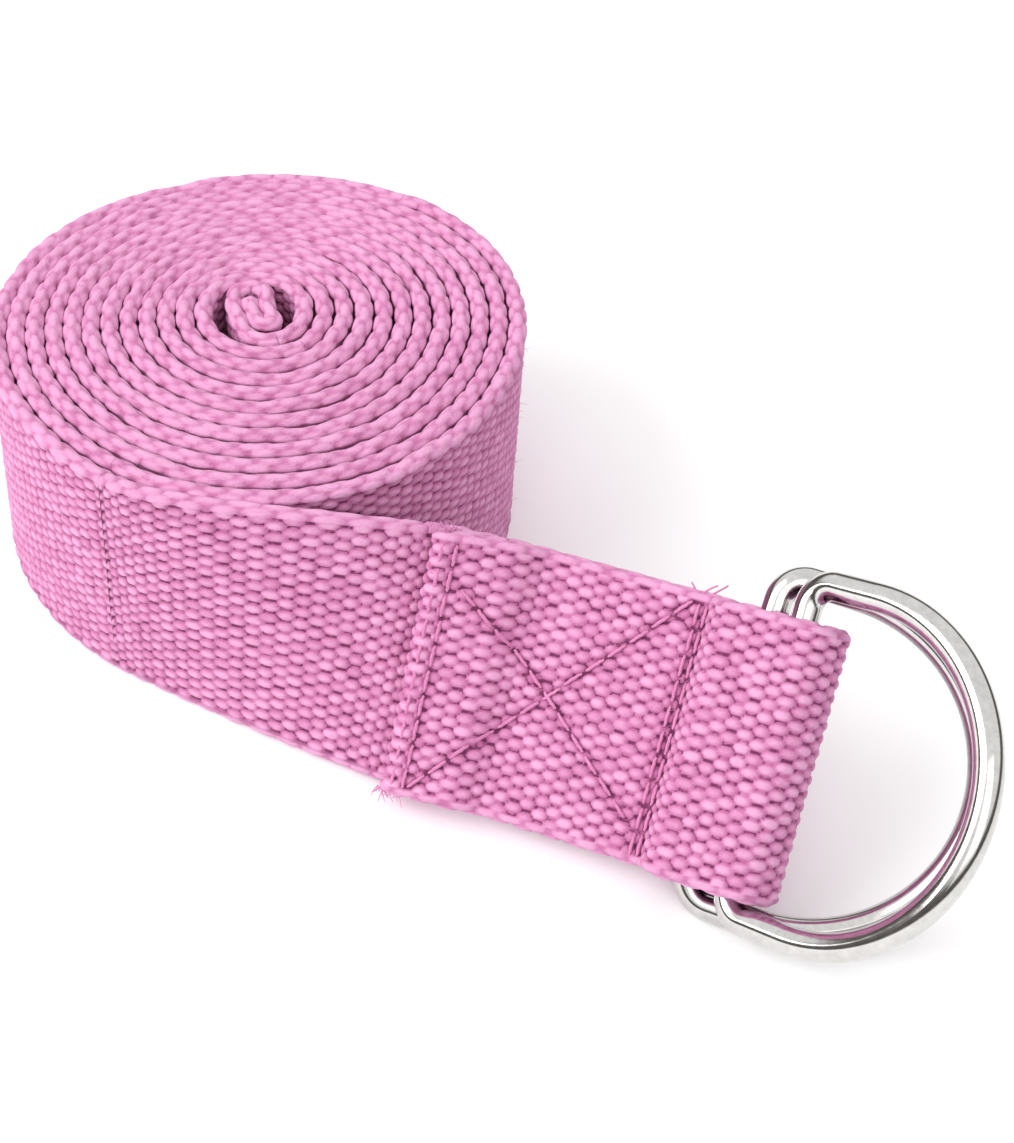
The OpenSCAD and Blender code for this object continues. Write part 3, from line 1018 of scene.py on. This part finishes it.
@dataclass
class SewnLap:
    """The run, the lap and the ring loop, with the thread that sews them."""

    shape: LapShape
    weaver: Weaver = field(default_factory=Weaver)
    edge_row: float = 2.2
    edge_row_gap: float = 1.7
    ring_row_gap: float = 1.1
    inset: float = 1.0
    thread: float = 0.5
    tail: float = 3.2

    def rows(self) -> dict[str, list[SeamRow]]:
        """Returns the rows of each seam."""
        sh = self.shape
        w = self.weaver.webbing.width
        top, low = w - self.inset, self.inset
        edge = [self.edge_row, self.edge_row + self.edge_row_gap]
        ring = [sh.lap_len - self.ring_row_gap - self.thread, sh.lap_len - self.thread]
        return {
            "lap_edge_seam": [SeamRow((s, low), (s, top)) for s in edge],
            "lap_cross_seam": [
                SeamRow((edge[1] + 1.7, w * 0.8), (ring[0] - 1.6, w * 0.14)),
                SeamRow((edge[1] + 0.6, low + 0.4), (ring[0] - 0.6, top)),
            ],
            "ring_side_seam": [SeamRow((s, low), (s, top)) for s in ring],
        }

    def front_height(self, s: Array) -> Array:
        """Returns the height of the lap's front face at distances s."""
        sh = self.shape
        step = smooth01((np.asarray(s, float) - sh.hem_len) / sh.hem_step)
        return sh.over_n + (sh.front_n - sh.over_n) * step + sh.half

    def pressed(self, course: Course, path_s: Array) -> Callable[[Array, Array], tuple[Array, Array]]:
        """Returns how the seams press the front layer, with painted shade in their grooves and stitch holes.

        Args:
            course: the front layer's course.
            path_s: s at each of its stations.

        Returns:
            A function of distance and place across that gives depth and painted shade.
        """
        rows = [r for group in self.rows().values() for r in group]

        def press(u: Array, v: Array) -> tuple[Array, Array]:
            """Returns the depth and the painted shade at places across each station."""
            s = path_s[:, None]
            depth = np.zeros(np.broadcast(s, v).shape)
            dark = np.zeros_like(depth)
            shown = (course.along[:, None] < course.along[0] + self.shape.shown_front) * 1.0
            for row in rows:
                a, b = np.array(row.start), np.array(row.end)
                span = b - a
                t = np.clip(((s - a[0]) * span[0] + (v - a[1]) * span[1]) / (span @ span), 0, 1)
                d2 = (s - a[0] - t * span[0]) ** 2 + (v - a[1] - t * span[1]) ** 2
                depth = np.maximum(depth, 0.26 * np.exp(-d2 / 0.5))
                # Painted shade along the seam's groove.
                dark = np.maximum(dark, 0.1 * np.exp(-d2 / 0.3))
                for p, q in row.stitches():
                    for hole in (p, q):
                        r2 = (s - hole[0]) ** 2 + (v - hole[1]) ** 2
                        depth = np.maximum(depth, 0.4 * np.exp(-r2 / 0.12))
                        # Painted shade in each stitch hole.
                        dark = np.maximum(dark, 0.45 * np.exp(-r2 / 0.1))
            return depth * shown, dark * shown

        return press

    def build(self, cotton: bpy.types.Material, thread: bpy.types.Material) -> None:
        """Makes the run, the lap's layers and the stitches."""
        sh = self.shape
        fine = self.weaver.webbing.station
        run_path = np.stack([np.linspace(-sh.run_len, 0, 240), np.full(240, -sh.half)], axis=1)
        run = sh.course(run_path, 0.0, fine)
        rear = sh.course(sh.rear_path(), run.along[-1], fine)
        front_path = sh.front_path()
        front = sh.course(front_path, rear.along[-1], fine)
        places, _ = even(front_path, fine)
        front_s = at(front_path, places)[:, 0]
        made = (
            (self.weaver.weave("run", run), run, "webbing_run", "laid"),
            (self.weaver.weave("lap_rear_layer", rear), rear, "webbing_ring_loop", "folded"),
            (
                self.weaver.weave("lap_front_layer", front, press=self.pressed(front, front_s)),
                front,
                "webbing_ring_loop",
                "folded",
            ),
        )
        for piece, course, node, held in made:
            dress(piece, cotton)
            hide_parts(node)
        for node, rows in self.rows().items():
            self.sew(node, rows, thread)
        log.info("sewn lap: run %.1f mm, lap and loop %.1f mm", run.length, rear.length + front.length)

    def stitch_shape(self) -> tuple[Array, list[list[int]]]:
        """Returns one stitch as points along X from 0 to 1 and its faces."""
        bpy.ops.object.select_all(action="DESELECT")
        bpy.ops.mesh.primitive_uv_sphere_add(
            segments=10, ring_count=10, radius=0.5, rotation=(0, math.pi / 2, 0)
        )
        ball = bpy.context.object
        bpy.ops.object.transform_apply(location=False, rotation=True, scale=False)
        points = np.array([v.co for v in ball.data.vertices])
        faces = [list(p.vertices) for p in ball.data.polygons]
        bpy.data.objects.remove(ball)
        x = points[:, 0]
        girth = np.where(np.abs(x) < 0.5, np.sqrt(np.clip(0.25 - x**2, 1e-9, None)), 1e-4)
        shaped = np.clip(girth * 2.0, 0, None) ** 0.45
        ratio = shaped / np.clip(girth * 2.0, 1e-6, None)
        points[:, 1] *= ratio
        points[:, 2] *= ratio
        points[:, 0] = x + 0.5
        return points, faces

    def sew(self, node: str, rows: list[SeamRow], thread: bpy.types.Material) -> None:
        """Makes one seam's stitches on the front and on the back, in place of its node."""
        sh = self.shape
        shape, faces = self.stitch_shape()
        points: list[Array] = []
        corners: list[list[int]] = []
        for index, row in enumerate(rows):
            for number, (a, b) in enumerate(row.stitches()):
                for front in (True, False):
                    wobble = 0.16 * (float(hashed(np.array(float(number)), np.array(float(index)), 9.0)) - 0.5)
                    t = shape[:, 0]
                    s = a[0] + (b[0] - a[0]) * t
                    v = a[1] + (b[1] - a[1]) * t
                    side = unit(np.array([-(b - a)[1], (b - a)[0]]))
                    bow = 0.22 * np.sin(math.pi * np.clip(t, 0, 1)) - 0.12
                    ply = 0.05 * np.sin(t * 26.0)
                    s = s + side[0] * (shape[:, 1] * self.thread + wobble + ply)
                    v = v + side[1] * (shape[:, 1] * self.thread + wobble + ply)
                    lift = bow + shape[:, 2] * self.thread * 0.85
                    base = self.front_height(s) if front else np.full_like(s, -2 * sh.half)
                    n = base + lift + 0.02 if front else base - lift - 0.02
                    start = sum(len(p) for p in points)
                    points.append(sh.point(s, v, n))
                    corners.extend([[c + start for c in (f if front else f[::-1])] for f in faces])
        obj = mesh_object(node + "_stitches", np.concatenate(points), corners)
        turn_out(obj)
        dress(obj, thread)
        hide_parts(node)
        log.info("%s: %d stitches", node, len(corners) // len(faces))


@dataclass
class Strands:
    """Thin round strands gathered into one piece."""

    sides: int = 4
    points: list[Array] = field(default_factory=list)
    faces: list[list[int]] = field(default_factory=list)
    count: int = 0

    def add(self, line: Array, radius: float, tip: float = 0.3) -> None:
        """Adds a strand that thins towards its tip.

        Args:
            line: the strand's middle, n by 3, in millimetres.
            radius: its radius at the root.
            tip: the radius at its tip, as a share of the root's.
        """
        heading = unit(np.gradient(line, axis=0))
        aside = unit(np.cross(heading, np.array([0.31, -0.52, 0.79])))
        above = np.cross(heading, aside)
        n, k = len(line), self.sides
        turn = np.arange(k) / k * 2 * math.pi
        girth = radius * np.linspace(1.0, tip, n)[:, None, None]
        ring = np.cos(turn)[None, :, None] * aside[:, None, :] + np.sin(turn)[None, :, None] * above[:, None, :]
        self.points.append((line[:, None, :] + girth * ring).reshape(-1, 3))
        base = self.count
        for i in range(n - 1):
            for j in range(k):
                a, b = base + i * k + j, base + i * k + (j + 1) % k
                self.faces.append([a, b, b + k, a + k])
        self.faces.append([base + j for j in range(k)][::-1])
        self.faces.append([base + (n - 1) * k + j for j in range(k)])
        self.count += n * k

    def build(self, name: str) -> bpy.types.Object:
        """Returns the strands as one piece."""
        obj = mesh_object(name, np.concatenate(self.points), self.faces)
        turn_out(obj)
        return obj


@dataclass
class LooseEnds:
    """The thread tails, the frayed tufts and the lint on the webbing."""

    lap: LapShape
    coil: CoilShape = field(default_factory=CoilShape)
    tuft_fibres: int = 34
    lint_fibres: int = 1500
    stitch: float = 3.0
    gap: float = 0.5

    @staticmethod
    def curl(root: Array, heading: Array, length: float, bend: Array, count: int) -> Array:
        """Returns a strand's middle line, bent sideways as it goes."""
        t = np.linspace(0, 1, count)[:, None]
        return root + heading * length * t + bend * length * t**2

    def tails(self, thread: bpy.types.Material) -> None:
        """Makes the two cut thread tails at the top of the seam beside the rings."""
        sh, made = self.lap, Strands(sides=8)
        width = sh.web.width
        along, across, out = (x[0] for x in sh.axes(np.array([30.0])))
        for ds, length, lean, bend in ((0.0, 3.6, 0.95, 0.1), (-0.9, 2.3, 0.5, -0.5), (-1.6, 1.5, -0.3, 0.4)):
            s, v = np.array([sh.lap_len - 1.0 + ds]), np.array([width - 0.3])
            root = sh.point(s, v, np.array([sh.front_n]))[0]
            heading = unit(along * lean + across * 0.75 + out * 0.25)
            made.add(self.curl(root, heading, length, bend * (out * 0.5 - along * 0.6), 12), 0.17, 0.7)
        piece = made.build("thread_tails")
        dress(piece, thread)
        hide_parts("loose_thread_ends")

    def hem_stitches(self, line: Array, thread: bpy.types.Material) -> None:
        """Makes the stitches that hold the free end's hem, up the leg beside the fold.

        Args:
            line: the plan of the free end's middle up to the place that is sewn.
            thread: the thread's material.
        """
        made = Strands(sides=8)
        ahead = unit(line[-1] - line[-2])
        aside = np.array([-ahead[1], ahead[0]])
        half = self.lap.half
        count = int((self.lap.web.width - 2.0) // (self.stitch + self.gap))
        for k in range(count):
            z = 1.0 + k * (self.stitch + self.gap) + np.linspace(0, self.stitch, 9)
            bow = 0.18 * np.sin(np.linspace(0, math.pi, 9))
            plan = line[-1] + (half + 0.1 + bow[:, None]) * aside
            made.add(np.column_stack([plan, z]), 0.24, 1.0)
        piece = made.build("free_end_stitches")
        dress(piece, thread)
        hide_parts("free_end_seam")

    def tufts(self, lint: bpy.types.Material) -> None:
        """Makes the frayed tufts at both ends of the lap's folded edge."""
        sh, made = self.lap, Strands(sides=4)
        number = np.arange(self.tuft_fibres, dtype=float)
        for place, (v, sign) in enumerate(((sh.web.width - 0.4, 1.0), (0.4, -1.0))):
            a, b, c, d, e = (hashed(number, number * 0 + place, 20.0 + k) for k in range(5))
            for k in range(self.tuft_fibres):
                s = -0.4 + 3.6 * a[k]
                root = sh.point(np.array([s]), np.array([v]), np.array([sh.front_n + 2.2 * b[k]]))[0]
                along, across, out = (x[0] for x in sh.axes(np.array([s])))
                heading = unit(
                    sign * across * (0.5 + 0.6 * d[k]) + along * 1.6 * (c[k] - 0.6) + out * 0.9 * (e[k] - 0.3)
                )
                bend = along * (b[k] - 0.5) + out * (d[k] - 0.5)
                made.add(self.curl(root, heading, 0.9 + 1.5 * e[k], bend, 7), 0.1, 0.4)
        piece = made.build("frayed_tufts")
        dress(piece, lint)

    def fluff(self, lint: bpy.types.Material) -> None:
        """Makes the fine lint that stands off the faces and the rims."""
        made = Strands(sides=3)
        number = np.arange(self.lint_fibres, dtype=float)
        a, b, c, d, e, f = (hashed(number, number * 0 + 3.0, 40.0 + k) for k in range(6))
        sh, width = self.lap, self.lap.web.width
        for k in range(self.lint_fibres):
            if k % 3 == 0:
                turn = self.coil.turns * (1 - math.sqrt(1 - 0.97 * a[k]))
                plan = self.coil.middle(np.array(turn), 2.24 * b[k])
                root = np.array([plan[0], plan[1], width - 0.15 - 0.5 * abs(b[k] - 0.5)])
                normal = np.array([0.0, 0.0, 1.0])
            elif k % 3 == 1:
                turn = a[k]
                plan, ahead = self.coil.face(np.array(turn)), self.coil.heading(np.array(turn))
                normal = np.array([ahead[1], -ahead[0], 0.0])
                root = np.array([plan[0], plan[1], width * (0.02 + 0.96 * b[k])])
            else:
                s = -sh.run_len + (sh.run_len + sh.fold_s) * a[k]
                top = 0.0 if s < 0 else (sh.over_n + sh.half if s < sh.hem_len else sh.front_n + sh.half)
                top = top if s < sh.lap_len + sh.loop_open else sh.loop_mid + sh.half
                root = sh.point(np.array([s]), np.array([width * (0.02 + 0.98 * b[k])]), np.array([top]))[0]
                normal = sh.axes(np.array([s]))[2][0]
            sway = np.array([c[k] - 0.5, d[k] - 0.5, e[k] - 0.5]) * 2.4
            heading = unit(normal * 0.5 + sway)
            bend = np.array([d[k] - 0.5, e[k] - 0.5, c[k] - 0.7]) * 0.8
            made.add(self.curl(root, heading, 0.5 + 0.9 * f[k], bend, 4), 0.036, 0.5)
        piece = made.build("lint")
        dress(piece, lint)


def turn_out(obj: bpy.types.Object) -> None:
    """Makes every face of a closed piece point outwards."""
    bpy.ops.object.select_all(action="DESELECT")
    obj.select_set(True)
    bpy.context.view_layer.objects.active = obj
    bpy.ops.object.mode_set(mode="EDIT")
    bpy.ops.mesh.select_all(action="SELECT")
    bpy.ops.mesh.normals_make_consistent(inside=False)
    bpy.ops.object.mode_set(mode="OBJECT")


def dress(obj: bpy.types.Object, material: bpy.types.Material) -> None:
    """Gives a piece its material and its slot, and lets it move with the strap."""
    obj.data.materials.clear()
    obj.data.materials.append(material)
    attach(obj, STRAP)


# ---- Studio ----


@dataclass
class Studio:
    """The pale floor, the soft lights and the camera."""

    eye: tuple[float, float, float] = (114.6, -231.3, 237.1)
    bearing: float = 17.7
    down: float = 44.0
    roll: float = 4.81
    lens: float = 67.75

    def camera(self) -> None:
        """Adds the camera."""
        data = bpy.data.cameras.new("camera")
        data.sensor_fit = "VERTICAL"
        data.sensor_height = 36.0
        data.lens = self.lens
        data.clip_start = 0.01
        a, e, rho = (math.radians(x) for x in (self.bearing, self.down, self.roll))
        right = np.array([math.cos(a), math.sin(a), 0.0])
        level = np.array([-math.sin(a), math.cos(a), 0.0])
        forward = level * math.cos(e) - np.array([0.0, 0.0, math.sin(e)])
        up = np.cross(right, forward)
        x = math.cos(rho) * right + math.sin(rho) * up
        y = -math.sin(rho) * right + math.cos(rho) * up
        matrix = Matrix([[x[i], y[i], -forward[i], self.eye[i] * MM] for i in range(3)] + [[0, 0, 0, 1]])
        obj = bpy.data.objects.new("camera", data)
        bpy.context.scene.collection.objects.link(obj)
        obj.matrix_world = matrix
        bpy.context.scene.camera = obj

    def light(self, name: str, place: tuple[float, float, float], size: float, watts: float) -> None:
        """Adds a square soft light that faces the strap."""
        data = bpy.data.lights.new(name, "AREA")
        data.energy = watts
        data.size = size
        obj = bpy.data.objects.new(name, data)
        bpy.context.scene.collection.objects.link(obj)
        obj.location = place
        aim = Vector((0.03, -0.01, 0.02)) - Vector(place)
        obj.rotation_euler = aim.to_track_quat("-Z", "Y").to_euler()

    def build(self) -> None:
        """Adds the camera, the floor, the world and the lights."""
        self.camera()
        bpy.ops.object.select_all(action="DESELECT")
        bpy.ops.mesh.primitive_plane_add(size=6.0, location=(0, 0, 0))
        floor = bpy.context.object
        floor.name = "floor"
        material, shader = new_material("pale_floor")
        nodes, links = material.node_tree.nodes, material.node_tree.links
        where = nodes.new("ShaderNodeTexCoord")
        noise = nodes.new("ShaderNodeTexNoise")
        noise.inputs["Scale"].default_value = 30.0
        links.new(where.outputs["Object"], noise.inputs["Vector"])
        colour = ramp(nodes, [(0.3, (0.97, 0.97, 0.97, 1)), (0.7, (0.99, 0.99, 0.99, 1))])
        links.new(noise.outputs["Fac"], colour.inputs["Fac"])
        links.new(colour.outputs["Color"], shader.inputs["Base Color"])
        shader.inputs["Roughness"].default_value = 0.9
        shader.inputs["Specular IOR Level"].default_value = 0.1
        floor.data.materials.append(material)
        world = bpy.data.worlds.new("studio")
        bpy.context.scene.world = world
        world.use_nodes = True
        background = world.node_tree.nodes["Background"]
        sky, wires = world.node_tree.nodes, world.node_tree.links
        direction = sky.new("ShaderNodeTexCoord")
        split = sky.new("ShaderNodeSeparateXYZ")
        wires.new(direction.outputs["Generated"], split.inputs[0])
        tent = ramp(
            sky,
            [
                (0.0, (0.9, 0.9, 0.9, 1)),
                (0.04, (0.1, 0.09, 0.085, 1)),
                (0.28, (0.16, 0.15, 0.14, 1)),
                (0.4, (1.06, 1.06, 1.06, 1)),
            ],
        )
        wires.new(split.outputs["Z"], tent.inputs["Fac"])
        wires.new(tent.outputs["Color"], background.inputs["Color"])
        background.inputs["Strength"].default_value = 1.02
        self.light("key", (-0.62, -0.5, 0.6), 0.7, 6.6)
        self.light("fill", (0.35, -0.7, 0.6), 0.8, 1.5)
        bpy.context.scene.view_settings.view_transform = "Standard"


@dataclass
class Rings:
    """The two D-rings of chromed wire."""

    nodes: tuple[str, str] = ("front_d_ring", "rear_d_ring")

    def build(self, chrome: bpy.types.Material) -> None:
        """Gives both rings their chrome."""
        for name in self.nodes:
            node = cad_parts[name]
            node.data.materials.clear()
            node.data.materials.append(chrome)
            log.info("%s: chromed", name)


def main() -> None:
    """Builds the strap, its rings and the studio."""
    logging.basicConfig(level=logging.INFO, format="%(name)s: %(message)s")
    cotton = CottonFinish().build()
    thread = ThreadFinish().build()
    Studio().build()
    coil = WoundCoil()
    coil.build(cotton)
    shape = LapShape(foot_z=LAP_FOOT_Z)
    SewnLap(shape).build(cotton, thread)
    Rings().build(ChromeFinish().build())
    loose = LooseEnds(shape)
    loose.tails(thread)
    loose.hem_stitches(coil.curl_line(5), thread)
    lint = LintFinish().build()
    loose.tufts(lint)
    loose.fluff(lint)


if __name__ == "__main__":
    main()
